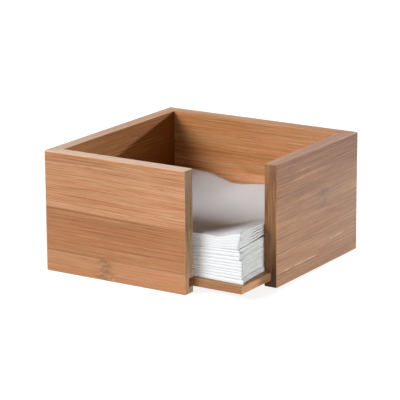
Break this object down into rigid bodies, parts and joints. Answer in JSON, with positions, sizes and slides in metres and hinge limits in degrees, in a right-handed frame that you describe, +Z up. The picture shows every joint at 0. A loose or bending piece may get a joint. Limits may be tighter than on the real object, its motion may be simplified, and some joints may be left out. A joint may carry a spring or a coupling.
{
  "type": "napkin holder",
  "caption": "Square open-topped bamboo box with one open corner and a captive base panel, holding a stack of folded paper napkins that lift out.",
  "frame": {"origin": "centre of the square footprint, on the table under the walls", "axes": "+Z up, -Y the front board's outer face, +X the right board's outer face; the open corner points to +X -Y"},
  "size_m": [0.15, 0.15, 0.081],
  "materials": {
    "bamboo_board": "satin",
    "bamboo_panel": "satin",
    "napkin_paper": "matte"
  },
  "bodies": {
    "holder": {"front_wall": "bamboo_board", "right_wall": "bamboo_board", "back_wall": "bamboo_board", "left_wall": "bamboo_board", "base_panel": "bamboo_panel"},
    "napkin_stack": {"napkin_01": "napkin_paper", "napkin_02": "napkin_paper", "napkin_03": "napkin_paper", "napkin_04": "napkin_paper", "napkin_05": "napkin_paper", "napkin_06": "napkin_paper", "napkin_07": "napkin_paper", "napkin_08": "napkin_paper", "napkin_09": "napkin_paper", "napkin_10": "napkin_paper", "napkin_11": "napkin_paper", "napkin_12": "napkin_paper", "napkin_13": "napkin_paper", "napkin_14": "napkin_paper"},
    "top_napkin": {"napkin_15": "napkin_paper"}
  },
  "joints": [
    {"name": "stack_lift", "type": "slide", "parent": "holder", "child": "napkin_stack", "axis": [0, 0, 1], "range_m": [0, 0.075]},
    {"name": "top_napkin_lift", "type": "slide", "parent": "napkin_stack", "child": "top_napkin", "axis": [0, 0, 1], "range_m": [0, 0.045]}
  ]
}
